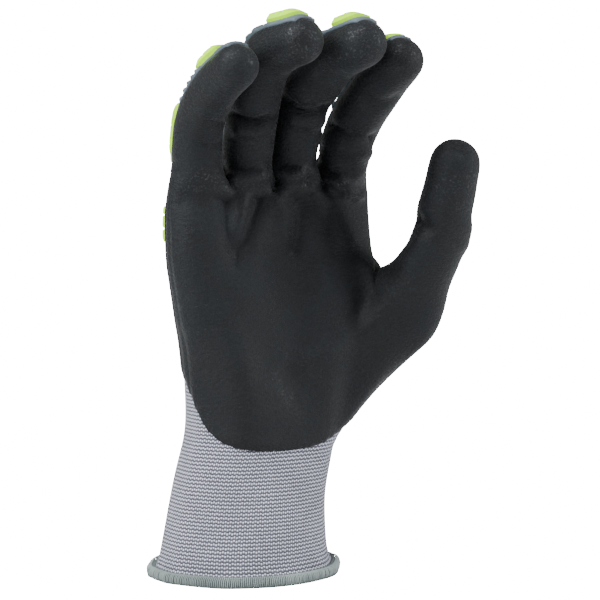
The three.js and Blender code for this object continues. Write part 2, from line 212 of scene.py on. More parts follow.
# height, centre, width, palm, back, power, littleMound, hollow, thumbMound
palmTable = [
    (0.000, 0.005, 0.872, 1.08, 1.05, 2.0, 0.00, 0.00, 0.00),
    (0.024, 0.005, 0.825, 1.02, 0.99, 2.0, 0.00, 0.00, 0.00),
    (0.060, 0.005, 0.795, 0.97, 0.94, 2.0, 0.00, 0.00, 0.00),
    (0.130, 0.014, 0.765, 0.93, 0.90, 2.0, 0.00, 0.00, 0.00),
    (0.210, 0.030, 0.745, 0.88, 0.85, 2.0, 0.01, 0.00, 0.00),
    (0.295, 0.064, 0.745, 0.80, 0.79, 2.1, 0.03, 0.01, 0.02),
    (0.379, 0.116, 0.785, 0.74, 0.71, 2.2, 0.06, 0.03, 0.06),
    (0.476, 0.138, 0.830, 0.68, 0.65, 2.3, 0.09, 0.07, 0.12),
    (0.579, 0.146, 0.875, 0.62, 0.59, 2.4, 0.10, 0.11, 0.17),
    (0.683, 0.150, 0.940, 0.58, 0.54, 2.5, 0.10, 0.13, 0.18),
    (0.780, 0.150, 0.995, 0.54, 0.51, 2.6, 0.09, 0.13, 0.13),
    (0.846, 0.142, 1.015, 0.51, 0.49, 2.6, 0.07, 0.09, 0.06),
    (0.935, 0.134, 1.010, 0.46, 0.46, 2.6, 0.03, 0.03, 0.00),
    (1.000, 0.136, 1.000, 0.38, 0.41, 2.6, 0.00, 0.00, 0.00),
]
# root, bone lengths, bends, leans, half widths, half depths, ring places, side direction
fingerRings = [(0.34, 0.5, 0.66, 0.82, 1), (0.34, 0.67, 1), (0.35, 0.7, 1)]
thumbRings = [(1,), (0.35, 0.7, 1), (0.3, 0.55, 0.8, 1), (0.35, 0.7, 1)]
digitTable = {
    "pinky": ((-21.0, 0, 159), (27.5, 19.7, 18.3), (16, 45, 61), (-5.4, -1, 3.4),
              (9.3, 8.8, 8.2, 7.7), (9.8, 8.9, 8.2, 7.6), fingerRings, (1, 0, 0)),
    "ring": ((2.2, 2.5, 160), (32.5, 28.3, 20), (22, 37, 74), (-4.3, -4.5, 10),
             (9.1, 9.2, 8.9, 8.2), (10.2, 9.6, 8.9, 8.2), fingerRings, (1, 0, 0)),
    "middle": ((23.6, 2.5, 161), (33.5, 28.7, 20.2), (26, 47, 71), (-3.8, 3.4, 7.2),
               (9.3, 9.8, 9.5, 8.6), (10.4, 9.8, 9.1, 8.4), fingerRings, (1, 0, 0)),
    "index": ((45.2, -0.7, 158.6), (24.7, 28.4, 19.2), (26, 47.7, 56.5), (-1.8, 1, 2),
              (9.2, 9.7, 9.4, 8.3), (10.2, 9.6, 8.9, 8.1), fingerRings, (1, 0, 0)),
    "thumb": ((37, -2, 110), (26.9, 25.0, 31.2, 18.0), (108, 36, 24.7, 18.8), (53, 22.6, 4.8, 1.5),
              (14, 11, 11.0, 10.2, 9.0), (30, 20.5, 11.6, 10.0, 9.2), thumbRings, (0.75, 0.66, 0)),
}
partNames = ["palm", *digitTable]
cagePoints = []
cageFaces = []  # point numbers, part, row, column
gridSizes = {}  # part: number of rows, points round a row


def addPoint(place):
    cagePoints.append(np.array(place, float))
    return len(cagePoints) - 1


def palmRow(values):
    height, centre, width, palm, back, power, *mounds = values
    sv = skinValues
    z = sv["hemFoot"] + height * (sv["palmHeight"] - sv["hemFoot"])
    middle = centre * sv["palmWidth"]
    half = width * sv["palmWidth"] / 2

    def arch(u):
        return sv["archRise"] * height**2 * (1 - sv["archBend"] * u * u)

    def palmPoint(u):
        bells = [np.exp(-(((u - spot) / sv["moundSpread"]) ** 2)) for spot in sv["moundPlaces"]]
        rise = mounds[0] * bells[0] - mounds[1] * bells[1] + mounds[2] * bells[2]
        fall = sv["palmDepth"] * (palm * (1 - abs(u) ** power) ** 0.5 + rise)
        return addPoint((middle + u * half, arch(u) - fall, z))

    def backPoint(u):
        rise = sv["palmDepth"] * back * (1 - abs(u) ** power) ** 0.5
        return addPoint((middle + u * half, arch(u) + rise, z))

    def edgePoint(side, n):
        depth = sv["palmDepth"] * (palm if n < 0 else back)
        x = middle + side * half * (1 - sv["edgeDrawIn"] * n * n)
        return addPoint((x, arch(1) + n * depth * sv["edgeDepth"], z))

    across = [sv["acrossReach"] * (n / 4 - 1) for n in range(9)]
    row = [palmPoint(u) for u in across]
    row += [edgePoint(1, n) for n in (-1, 0, 1)]
    row += [backPoint(u) for u in reversed(across)]
    row += [edgePoint(-1, n) for n in (1, 0, -1)]
    return row


def backColumn(column):
    return 20 - column


def joinRings(lower, upper, part, row, skip=()):
    for n in range(len(lower)):
        following = (n + 1) % len(lower)
        if n not in skip:
            cageFaces.append(([lower[n], lower[following], upper[following], upper[n]], part, row, n))


def curvePlace(joints, share):
    # Centripetal Catmull-Rom curve through the joints, with its direction
    count = len(joints)
    spot = share * (count - 1)
    first = min(int(spot), count - 2)
    weight = spot - first
    before = joints[first - 1] if first > 0 else 2 * joints[0] - joints[1]
    after = joints[first + 2] if first + 2 < count else 2 * joints[-1] - joints[-2]
    start, end = joints[first], joints[first + 1]
    spans = ((before, start), (start, end), (end, after))
    gaps = [max(np.linalg.norm(b - a) ** 0.5, 1e-4) for a, b in spans]
    firstSlope = (start - before) / gaps[0] - (end - before) / (gaps[0] + gaps[1]) + (end - start) / gaps[1]
    lastSlope = (end - start) / gaps[1] - (after - start) / (gaps[1] + gaps[2]) + (after - end) / gaps[2]
    firstSlope, lastSlope = firstSlope * gaps[1], lastSlope * gaps[1]
    c2 = -3 * start + 3 * end - 2 * firstSlope - lastSlope
    c3 = 2 * start - 2 * end + firstSlope + lastSlope
    place = start + firstSlope * weight + c2 * weight**2 + c3 * weight**3
    slope = firstSlope + 2 * c2 * weight + 3 * c3 * weight**2
    return place, slope / np.linalg.norm(slope)


def addRing(centre, tangent, side, halfSide, halfUp, size, start):
    across = side - tangent * side.dot(tangent)
    across /= np.linalg.norm(across)
    up = np.cross(tangent, across)
    ring = []
    for n in range(size):
        angle = radians(start + n * 360 / size)
        ring.append(addPoint(centre + across * halfSide * cos(angle) + up * halfUp * sin(angle)))
    return ring


def addDigit(name, firstRing, start):
    root, bones, bends, leans, widths, depths, ringShares, side = digitTable[name]
    side = np.array(side, float)
    joints = [np.array(root, float)]
    for length, bend, lean in zip(bones, np.radians(bends), np.radians(leans)):
        step = np.array([sin(lean), -cos(lean) * sin(bend), cos(lean) * cos(bend)])
        joints.append(joints[-1] + length * step)
    rings = [firstRing]
    size = len(firstRing)
    for bone, shares in enumerate(ringShares):
        for share in shares:
            centre, tangent = curvePlace(joints, (bone + share) / len(bones))
            halfSide = widths[bone] + (widths[bone + 1] - widths[bone]) * share
            halfUp = depths[bone] + (depths[bone + 1] - depths[bone]) * share
            rings.append(addRing(centre, tangent, side, halfSide, halfUp, size, start))
    end, tangent = curvePlace(joints, 1)
    reach = (widths[-1] + depths[-1]) / 2
    for turn in np.radians(skinValues["endAngles"]):
        centre = end + tangent * reach * sin(turn)
        halfSide, halfUp = widths[-1] * cos(turn), depths[-1] * cos(turn)
        rings.append(addRing(centre, tangent, side, halfSide, halfUp, size, start))
    for row, (lower, upper) in enumerate(zip(rings, rings[1:])):
        joinRings(lower, upper, name, row)
    pole = addPoint(end + tangent * reach)
    for n in range(size):
        cageFaces.append(([rings[-1][n], rings[-1][(n + 1) % size], pole], name, len(rings) - 1, n))
    gridSizes[name] = (len(rings), size)
    return rings


def makeCage():
    palmRows = [palmRow(values) for values in palmTable]
    firstRow, lastRow = skinValues["thumbRows"]
    firstColumn, lastColumn = skinValues["thumbColumns"]
    for row, (lower, upper) in enumerate(zip(palmRows, palmRows[1:])):
        besideThumb = firstRow <= row < lastRow
        joinRings(lower, upper, "palm", row, range(firstColumn, lastColumn) if besideThumb else ())
    gridSizes["palm"] = (len(palmRows) - 1, 24)
    top = palmRows[-1]
    webs = []
    for n in (1, 2, 3):
        palmSide, backSide = cagePoints[top[2 * n]], cagePoints[top[backColumn(2 * n)]]
        web = []
        for share, rise in skinValues["webShape"]:
            lift = np.array((0, 0, skinValues["webRise"] * rise))
            web.append(addPoint(palmSide * (1 - share) + backSide * share + lift))
        webs.append(web)
    for n, name in enumerate(fingerNames):
        ring = [top[2 * n + step] for step in range(3)]
        ring += webs[n] if n < 3 else top[9:12]
        ring += [top[backColumn(2 * n + step)] for step in (2, 1, 0)]
        ring += webs[n - 1][::-1] if n else top[-3:]
        addDigit(name, ring, skinValues["fingerStart"])
    beside = palmRows[firstRow : lastRow + 1]
    window = beside[0][firstColumn : lastColumn + 1]
    window += [row[lastColumn] for row in beside[1:-1]]
    window += beside[-1][firstColumn : lastColumn + 1][::-1]
    window += [row[firstColumn] for row in beside[1:-1]][::-1]
    addDigit("thumb", window, -90 - (lastColumn - firstColumn) / 2 * 360 / len(window))


def evaluateCage(places, levels):
    mesh = bpy.data.meshes.new("skinCage")
    mesh.from_pydata((places * millimetre).tolist(), [], [face[0] for face in cageFaces])
    grid = mesh.uv_layers.new(name="grid")
    corner = 0
    for ids, part, row, column in cageFaces:
        spots = [(column, row), (column + 1, row), (column + 1, row + 1), (column, row + 1)]
        if len(ids) == 3:
            spots[2] = (column + 0.5, row + 1)
        for spot in spots[: len(ids)]:
            grid.data[corner].uv = spot
            corner += 1
    for name in partNames:
        mesh.materials.append(None)
    mesh.polygons.foreach_set("material_index", [partNames.index(face[1]) for face in cageFaces])
    holder = addObject("skinCage", mesh)
    modifier = holder.modifiers.new("smooth", "SUBSURF")
    modifier.levels = modifier.render_levels = levels
    modifier.uv_smooth = "NONE"
    return bakedMesh(holder)


def meshArrays(mesh):
    points = np.empty(len(mesh.vertices) * 3)
    mesh.vertices.foreach_get("co", points)
    corners = np.empty(len(mesh.loops), int)
    mesh.loops.foreach_get("vertex_index", corners)
    grid = np.empty(len(mesh.loops) * 2)
    mesh.uv_layers["grid"].data.foreach_get("uv", grid)
    parts = np.empty(len(mesh.polygons), int)
    mesh.polygons.foreach_get("material_index", parts)
    return points.reshape(-1, 3) / millimetre, corners.reshape(-1, 4), grid.reshape(-1, 4, 2), parts


def vertexNormals(points, quads):
    normals = np.zeros_like(points)
    across = points[quads[:, 2]] - points[quads[:, 0]]
    along = points[quads[:, 3]] - points[quads[:, 1]]
    facing = np.cross(across, along)
    for n in range(4):
        np.add.at(normals, quads[:, n], facing)
    return normals / np.linalg.norm(normals, axis=1)[:, None]


def correctedCage():
    # Moves the cage's points so that the smooth surface passes where they were
    target = np.array(cagePoints)
    places = target.copy()
    for attempt in range(skinValues["corrections"]):
        reached = meshArrays(evaluateCage(places, skinValues["levels"]))[0]
        places += target - reached[: len(target)]
    return places


# Folds, hollows and swells of the worn glove on its palm side: parts, height in mm, half width in mm
# and a line in the plane that faces the palm, as mm across and up from the wrist's centre
formTable = [
    # creases under the finger joints
    ("middle", -2.3, 2.0, [(19.5, 195), (23.5, 192.3), (28.5, 191.3), (35, 192.5)]),
    ("middle", -1.1, 2.2, [(33, 206.5), (38, 206.5), (43, 205.5)]),
    ("ring", -2.3, 2.0, [(-3.5, 189.5), (1, 188), (5.5, 187.6), (11, 189)]),
    ("ring", -0.9, 2.4, [(1, 203), (7, 202)]),
    ("index", -2.2, 2.1, [(37, 185), (45, 181.3), (52, 179.5), (57, 181)]),
    ("index", -1.2, 2.4, [(52, 195), (58, 195), (64, 197)]),
    ("pinky", -1.5, 1.8, [(-13, 186.5), (-8.5, 186), (-5.5, 187)]),
    ("pinky", -1.1, 1.9, [(-17, 177.5), (-11, 177), (-7, 179)]),
    # swells below those creases
    ("middle", 1.6, 3.0, [(22, 187.2), (28, 186), (33, 187)]),
    ("ring", 1.6, 2.8, [(-1, 183), (5, 182.6), (9, 183.5)]),
    ("index", 1.6, 3.0, [(41, 176.5), (48, 174), (54, 173.5)]),
    # ridges across the roots of the fingers
    ("ring palm", 3.2, 2.6, [(-8.5, 159), (-4, 162.5), (1.5, 162.5), (6.5, 164)]),
    ("middle palm", 2.8, 2.3, [(12.5, 169), (15.5, 166), (19.5, 164), (25.5, 165.5)]),
    ("index palm", 2.8, 2.6, [(28, 165.5), (34.5, 163.4), (41, 160.5), (46.5, 156)]),
    ("pinky palm", 0.5, 4.0, [(-27, 160), (-20, 158), (-14, 158)]),
    # grooves that run down from the webs
    ("palm ring middle", -3.2, 1.5, [(10.6, 167), (11.8, 162), (13.6, 157)]),
    ("palm middle index", -1.9, 1.5, [(25.8, 166), (26, 162)]),
    ("palm ring", -2.9, 3.3, [(-9, 166), (-9.3, 158), (-6.5, 149), (-5.8, 141), (-4, 134)]),
    ("palm", -2.9, 3.0, [(7.5, 160), (6.5, 153), (3.5, 145), (1, 137), (-1, 128)]),
    ("palm", -2.0, 3.2, [(18, 161), (21, 155), (23.5, 149), (23.5, 142), (21, 134)]),
    # lesser ridges between them
    ("palm", 1.3, 2.6, [(0, 156), (-0.5, 148), (-2.5, 141)]),
    ("palm", 1.6, 3.4, [(13.5, 156), (16.5, 149), (16.5, 138)]),
    ("palm", 1.2, 3.2, [(30, 158), (30.5, 148), (31.5, 137)]),
    ("palm index", 1.8, 4.4, [(40, 161), (39, 152), (39.5, 144), (42, 137)]),
    # hollow and mounds of the palm
    ("palm", -1.9, 7.5, [(-5, 128), (-4, 112), (5, 96), (12, 84)]),
    ("palm", 1.8, 6.5, [(-21, 148), (-22, 125), (-19, 105)]),
    ("palm thumb", -1.6, 5.0, [(52, 112), (45, 104), (38, 97)]),
    ("palm thumb", 1.9, 6.0, [(74, 136), (66, 116), (46, 98), (26, 84)]),
    ("thumb", -1.5, 3.2, [(72, 146), (77, 142)]),
    ("thumb", -1.2, 1.6, [(87, 175.5), (91.5, 172.5)]),
]
# local swells and waists of the fingers all the way round: parts, height, half width and line, as above
swellTable = [
    ("ring middle", 1.0, 3.0, [(18.7, 208), (19.3, 202)]),
    ("middle index", -1.0, 2.6, [(36, 192), (33, 184)]),
    ("middle index", -1.0, 2.4, [(31, 176), (29, 169)]),
    ("thumb", -1.5, 4.5, [(71.5, 145), (69, 137)]),
    ("thumb", 2.0, 4.5, [(94.5, 141), (93, 136)]),
]
webValues = {
    "spot": (54.4, 124.0),
    "spread": (6.0, 6.5),
    "sideways": 0.55,
    "rise": 3.4,
}
facingFade = 0.4  # forms on the palm side fade out where the skin turns away
plateTurn = radians(viewValues["azimuth"])
plateSide = Vector((cos(plateTurn), sin(plateTurn), 0))


def eased(share):
    return share * share * (3 - 2 * share)


def palmSidePlace(points):
    # Where points lie on the plane that faces the palm, in mm from the wrist's centre
    back = directionAt(viewValues["azimuth"], viewValues["elevation"])
    up = back.cross(plateSide)
    target = np.array(viewValues["target"]) / millimetre
    distance = viewValues["distance"] / millimetre
    away = points - target - distance * np.array(back)
    scale = distance / -(away @ np.array(back))
    across = (away @ np.array(plateSide)) * scale + target @ np.array(plateSide)
    return np.stack([across, (away @ np.array(up)) * scale + target @ np.array(up)], axis=1), np.array(back)


def lineDistance(spots, line):
    nearest = np.full(len(spots), 1e9)
    for a, b in zip(np.array(line[:-1], float), np.array(line[1:], float)):
        along = np.clip(((spots - a) @ (b - a)) / ((b - a) @ (b - a)), 0, 1)
        nearest = np.minimum(nearest, np.linalg.norm(spots - a - along[:, None] * (b - a), axis=1))
    return nearest


def formRise(table, spots, member):
    rise = np.zeros(len(spots))
    for names, height, width, line in table:
        near = np.exp(-((lineDistance(spots, line) / width) ** 2))
        rise += height * near * np.max([member[name] for name in names.split()], axis=0)
    return rise


def pressForms(points, quads, parts):
    points = fillThumbWeb(points, quads)
    normals = vertexNormals(points, quads)
    spots, back = palmSidePlace(points)
    facing = eased(np.clip((normals @ back) / facingFade, 0, 1))
    member = {}
    for number, name in enumerate(partNames):
        member[name] = np.zeros(len(points))
        member[name][quads[parts == number].reshape(-1)] = 1
    rise = formRise(formTable, spots, member) * facing + formRise(swellTable, spots, member)
    return points + normals * rise[:, None]


def fillThumbWeb(points, quads):
    # Rounds the bottom of the fork between the thumb and the palm
    web = webValues
    spots = palmSidePlace(points)[0]
    near = np.exp(-((np.linalg.norm((spots - web["spot"]) / web["spread"], axis=1)) ** 2))
    out = np.array(plateSide) * web["sideways"] + np.array((0, 0, 1)) * (1 - web["sideways"] ** 2) ** 0.5
    facing = np.clip(vertexNormals(points, quads) @ out, 0, 1)
    return points + np.outer(near * facing * web["rise"], out)


makeCage()
cagePlaces = correctedCage()
finePoints, fineQuads, fineGrid, fineParts = meshArrays(evaluateCage(cagePlaces, skinValues["levels"]))
finePoints = pressForms(finePoints, fineQuads, fineParts)
fineNormals = vertexNormals(finePoints, fineQuads)
print("hand skin:", len(cageFaces), "cage faces,", len(fineQuads), "fine faces")

# Places on the fine skin by part, row and point number round the row
fineStep = 2 ** skinValues["levels"]
gridLookup = {}
for number, name in enumerate(partNames):
    rows, around = gridSizes[name]
    table = np.full((rows * fineStep + 1, around * fineStep + 1), -1)
    chosen = fineParts == number
    spots = np.rint(fineGrid[chosen] * fineStep).astype(int).reshape(-1, 2)
    whole = np.abs(fineGrid[chosen].reshape(-1, 2) * fineStep - spots).max(axis=1) < 0.01
    inside = whole & (spots[:, 1] <= rows * fineStep)
    table[spots[inside, 1], spots[inside, 0]] = fineQuads[chosen].reshape(-1)[inside]
    gridLookup[name] = table


def skinPlace(part, row, column):
    # Place and outward direction between the points of the fine skin
    table = gridLookup[part]
    r = np.clip(np.asarray(row, float) * fineStep, 0, table.shape[0] - 1.001)
    c = (np.asarray(column, float) * fineStep) % (table.shape[1] - 1)
    r0, c0 = r.astype(int), c.astype(int)
    dr, dc = (r - r0)[..., None], (c - c0)[..., None]
    place = direction = 0
    for a, rowWeight in enumerate((1 - dr, dr)):
        for b, columnWeight in enumerate((1 - dc, dc)):
            ids = table[r0 + a, c0 + b]
            place = place + rowWeight * columnWeight * finePoints[ids]
            direction = direction + rowWeight * columnWeight * fineNormals[ids]
    return place, direction / np.linalg.norm(direction, axis=-1)[..., None]


def addPiece(name, points, faces, uvs=None, smooth=True):
    mesh = bpy.data.meshes.new(name)
    mesh.from_pydata((np.asarray(points) * millimetre).tolist(), [], [list(face) for face in faces])
    if uvs is not None:
        layer = mesh.uv_layers.new(name="weave")
        layer.data.foreach_set("uv", np.asarray(uvs, float).reshape(-1))
    mesh.polygons.foreach_set("use_smooth", [smooth] * len(mesh.polygons))
    mesh.update()
    return addObject(name, mesh)


def gridSheet(part, rows, columns, inner, outer):
    # A closed sheet over part of the grid: inner is its one offset below, outer gives those above
    rowGrid, columnGrid = np.meshgrid(rows, columns, indexing="ij")
    place, direction = skinPlace(part, rowGrid, columnGrid)
    top = place + direction * outer(rowGrid, columnGrid)[..., None]
    return closeSheet(top, place + direction * inner)


def closeSheet(top, bottom):
    rows, columns = top.shape[:2]
    points = np.concatenate([top.reshape(-1, 3), bottom.reshape(-1, 3)])
    ids = np.arange(rows * columns).reshape(rows, columns)
    below = rows * columns
    faces = []
    for r in range(rows - 1):
        for c in range(columns - 1):
            a, b, d, e = ids[r, c], ids[r, c + 1], ids[r + 1, c + 1], ids[r + 1, c]
            faces.append((a, b, d, e))
            faces.append((a + below, e + below, d + below, b + below))
    rim = list(ids[0, :]) + list(ids[1:, -1]) + list(ids[-1, -2::-1]) + list(ids[-2:0:-1, 0])
    for a, b in zip(rim, rim[1:] + rim[:1]):
        faces.append((b, a, a + below, b + below))
    return points, faces


# Where the dipped coat lies: the palm side, and round the digits up to a bare strip on their backs
coatValues = {
    "lift": 0.35,
    "wall": 0.8,
    "edgeTaper": 1.6,
    "edgeWall": 0.45,
    "edgeSink": 0.3,
    "raggedness": 0.2,
    "raggedWaves": [(2.3, 1, 0), (5.1, 0.6, 1.3)],  # radians a mm, size, shift
    "border": [
        (60, 66), (42, 61), (37, 56.5), (30, 54), (19, 53), (5, 53.8), (-4, 55.6), (-10, 58.2),
        (-15, 62.7), (-18, 69), (-20.5, 76), (-24, 84), (-30, 92),
    ],
    "borderTurn": 30.0,
    "borderSteps": 200,
    "borderSmooth": 8,  # steps to each side
    "fingerStrip": (6, 8, 10),  # bare strip on the back: first and last point, rows
    "thumbStrip": (4, 7, 10),
    "palmStrip": (10, 19.6),
    "palmPitch": 3.6,  # mm from point to point round the palm, round a digit and along a digit
    "digitPitch": 4.6,
    "rowPitch": 6.0,
}


def coatDepth(part, grid, points):
    # How far inside the coat's border a place lies, in mm
    cv = coatValues
    column, row = grid[..., 0], grid[..., 1]
    if part == "palm":
        first, last = cv["palmStrip"]
        beside = np.minimum(np.abs(column - first), np.abs(column - last)) * cv["palmPitch"]
        beside = np.where((column > first) & (column < last), -beside, beside)
    else:
        first, last, rows = cv["thumbStrip" if part == "thumb" else "fingerStrip"]
        outward = np.maximum(first - column, column - last) * cv["digitPitch"]
        beside = np.maximum(outward, (row - rows) * cv["rowPitch"])
    turn = radians(cv["borderTurn"])
    across = points[..., 0] * cos(turn) - points[..., 1] * sin(turn)
    spots, heights = zip(*sorted(cv["border"]))
    dense = np.linspace(spots[0], spots[-1], cv["borderSteps"])
    line = np.interp(dense, spots, heights)
    window = 2 * cv["borderSmooth"] + 1
    line = np.pad(line, cv["borderSmooth"], mode="edge")
    line = np.convolve(line, np.ones(window) / window, mode="valid")
    slope = np.interp(across, dense, np.gradient(line, dense))
    waves = sum(size * np.sin(across * rate + shift) for rate, size, shift in cv["raggedWaves"])
    rise = (points[..., 2] - np.interp(across, dense, line)) / np.sqrt(1 + slope**2)
    return np.minimum(beside, rise + cv["raggedness"] * waves)


# Knit body: one skin from the wrist to every tip, with its inside wall
knitValues = {
    "wall": 1.2,
    "levels": 2,
    "underCoat": 0.5,  # how far the knit draws in where the coat hides it
    "hiddenFrom": 2.0,  # mm inside the coat's border, and over how many more it draws in
    "hiddenOver": 3.0,
    "tipLength": 5.0,  # mm of courses past a digit's last ring
    "coursePitch": 1.5,  # one light and one dark course
    "palmStitches": 100,
    "digitStitches": 26,
    "thumbStitches": 30,
}
fineColumns = np.arange(0, 24.01, 1 / fineStep)
roundShares = []  # share of the way round the hand at each fine column, for the rows below the thumb
for row in range(skinValues["thumbRows"][0] + 1):
    ring = skinPlace("palm", 0 * fineColumns + row, fineColumns % 24)[0]
    travelled = np.cumsum(np.linalg.norm(np.diff(ring, axis=0), axis=1))
    roundShares.append(np.concatenate([[0], travelled / travelled[-1]]))


def knitPattern(grid, part, points):
    # Stitch number around and course number along, for each corner
    if part == "palm":
        row = np.clip(grid[..., 1], 0, len(roundShares) - 1.001)
        lower = row.astype(int)
        shares = np.stack([np.interp(grid[..., 0], fineColumns, share) for share in roundShares])
        first = np.take_along_axis(shares, lower[None], 0)[0]
        second = np.take_along_axis(shares, lower[None] + 1, 0)[0]
        around = (first + (second - first) * (row - lower)) * knitValues["palmStitches"]
        along = points[..., 2] / knitValues["coursePitch"]
    else:
        rows, size = gridSizes[part]
        stitches = knitValues["thumbStitches"] if part == "thumb" else knitValues["digitStitches"]
        around = grid[..., 0] / size * stitches
        middles = [skinPlace(part, row, np.arange(size))[0].mean(axis=0) for row in range(rows)]
        steps = [np.linalg.norm(b - a) for a, b in zip(middles, middles[1:])]
        travelled = [0, *np.cumsum(steps), sum(steps) + knitValues["tipLength"]]
        heights = middles[0][2] + np.array(travelled)
        along = np.interp(grid[..., 1], np.arange(len(heights)), heights) / knitValues["coursePitch"]
    return np.stack([around, along], axis=-1)


def makeKnit():
    points, quads, grid, parts = meshArrays(evaluateCage(cagePlaces, knitValues["levels"]))
    points = pressForms(points, quads, parts)
    normals = vertexNormals(points, quads)
    depths = np.full(len(points), -99.0)
    for number, name in enumerate(partNames):
        chosen = parts == number
        spots = quads[chosen].reshape(-1)
        np.maximum.at(depths, spots, coatDepth(name, grid[chosen], points[quads[chosen]]).reshape(-1))
    hidden = np.clip((depths - knitValues["hiddenFrom"]) / knitValues["hiddenOver"], 0, 1)
    points = points - normals * (hidden * knitValues["underCoat"])[:, None]
    uvs = np.empty_like(grid)
    for number, name in enumerate(partNames):
        chosen = parts == number
        uvs[chosen] = knitPattern(grid[chosen], name, points[quads[chosen]])
    inside = points - normals * knitValues["wall"]
    count = len(points)
    faces = np.concatenate([quads, quads[:, ::-1] + count])
    edges = {}
    for quad, corner in zip(quads, uvs):
        for n in range(4):
            edges[(quad[n], quad[(n + 1) % 4])] = (corner[n], corner[(n + 1) % 4])
    rim, rimUvs = [], []
    for (a, b), (first, second) in edges.items():
        if (b, a) not in edges:
            rim.append((b, a, a + count, b + count))
            rimUvs.append((second, first, first, second))
    faces = np.concatenate([faces, rim])
    uvs = np.concatenate([uvs, uvs[:, ::-1], rimUvs])
    return addPiece("knitBody", np.concatenate([points, inside]), faces, uvs)


knitBody = makeKnit()
print("knit body:", len(knitBody.data.polygons), "faces")


def makeCoat():
    # The part of the fine skin inside the border, cut along it, with a rim that turns down to the knit
    points, directions, depths, faces, uvs = [], [], [], [], []
    named = {}

    def vertex(key, place, direction, depth):
        if key not in named:
            named[key] = len(points)
            points.append(place)
            directions.append(direction)
            depths.append(depth)
        return named[key]

    for number, name in enumerate(partNames):
        chosen = fineParts == number
        quads, grid = fineQuads[chosen], fineGrid[chosen]
        depthGrid = coatDepth(name, grid, finePoints[quads])
        weave = knitPattern(grid, name, finePoints[quads])
        covered = (depthGrid > 0).any(axis=1)
        for quad, depth, spots in zip(quads[covered], depthGrid[covered], weave[covered]):
            corners, spotsKept = [], []
            for n in range(4):
                a, b = quad[n], quad[(n + 1) % 4]
                da, db = depth[n], depth[(n + 1) % 4]
                if da > 0:
                    corners.append(vertex(a, finePoints[a], fineNormals[a], da))
                    spotsKept.append(spots[n])
                if (da > 0) != (db > 0):
                    share = da / (da - db)
                    key = (min(a, b), max(a, b), number)
                    place = finePoints[a] * (1 - share) + finePoints[b] * share
                    direction = fineNormals[a] * (1 - share) + fineNormals[b] * share
                    corners.append(vertex(key, place, direction, 0))
                    spotsKept.append(spots[n] * (1 - share) + spots[(n + 1) % 4] * share)
            if len(corners) > 2:
                faces.append(corners)
                uvs += spotsKept
    points, directions = np.array(points), np.array(directions)
    fade = eased(np.clip(np.array(depths) / coatValues["edgeTaper"], 0, 1))
    wall = coatValues["edgeWall"] + (coatValues["wall"] - coatValues["edgeWall"]) * fade
    outer = points + directions * (coatValues["lift"] * fade + wall)[:, None]
    edges = {(a, b) for face in faces for a, b in zip(face, face[1:] + face[:1])}
    rim = [(a, b) for a, b in edges if (b, a) not in edges]
    foot = {}
    places = [outer]
    for corner in (corner for edge in rim for corner in edge):
        if corner not in foot:
            foot[corner] = len(points) + len(foot)
            places.append((points[corner] - directions[corner] * coatValues["edgeSink"])[None])
    faces += [(b, a, foot[a], foot[b]) for a, b in rim]
    uvs += [(0, 0)] * (4 * len(rim))
    return addPiece("dippedCoat", np.concatenate(places), faces, uvs)


dippedCoat = makeCoat()
print("dipped coat:", len(dippedCoat.data.polygons), "faces")

# Guards: grey sheets with ribs, and bright pads standing on them
guardValues = {
    "sheetWall": 0.85,  # on the fingers
    "handWall": 1.0,
    "underFinger": 1.45,
    "underHand": 0.35,
    "fingerBack": 7,
    "fingerReach": (1.22, 1.22),  # points to the thumb side and to the little-finger side
    "ringReach": (1.22, 1.36),
    "fingerSpan": (0.62, 12),
    "fingerSink": 0.9,
    "fingerBevel": 0.14,  # in rows and points
    "ribs": (5.75, 6.3, 6.85, 7.4, 7.95, 8.4),  # rows
    "ribHeight": 0.8,
    "ribHalf": 0.13,
    "handRows": (7.4, 12.8),
    "handAround": (12.4, 20.12),
    "handReach": 19.4,  # how far round the sheet goes below the knuckles
    "handBevels": (0.12, 0.2),  # in rows and points
    "handSink": 0.3,
    "handLift": 0.9,  # the sheet's foot rises by this much over a sixth of its bevel
    "handEdge": 0.25,
    "knuckleLead": 0.4,
    "knuckleBlend": 0.3,
    "padHeight": 3.0,
    "handPadHeight": 3.2,
    "fingerPadReach": {"tipPad": (0.9, 0.95), "rootPad": (0.88, 0.6)},
    "littleReach": (0.9, 1.15),
    "rootPad": (1, 5.4),  # rows, as in the next two
    "tipPads": {"pinky": (8.0, 10.4), "ring": (9.0, 11.4), "middle": (9.2, 11.4), "index": (9.0, 11.5)},
    "padRows": {"knucklePad": (11.3, 12.65), "handPad": (7.9, 10.9)},
    "padReach": {"knucklePad": 0.78, "handPad": 0.74},
    "padEnds": {"knucklePad": 20.0, "handPad": 19.2},
    "padInset": 0.12,
    "sideBevel": 1.5,
    "lowBevel": 1.0,
    "highBevels": {"rootPad": 2.0, "tipPad": 4.5, "knucklePad": 1.6, "handPad": 2.2},
    "grooveHalf": 0.5,
    "grooveDepth": 0.8,
    "grooveSpacing": 10,
    "padSink": 0.5,
    "padShoulder": 0.42,  # share of the height where the bevel starts
    "cornerCut": 0.2,  # share of the width lost at the ends, from this share of the way to them
    "cornerFrom": 0.72,
    "sharpAngle": 24,
}


def rounded(share):
    return np.sqrt(1 - (1 - share) ** 2)


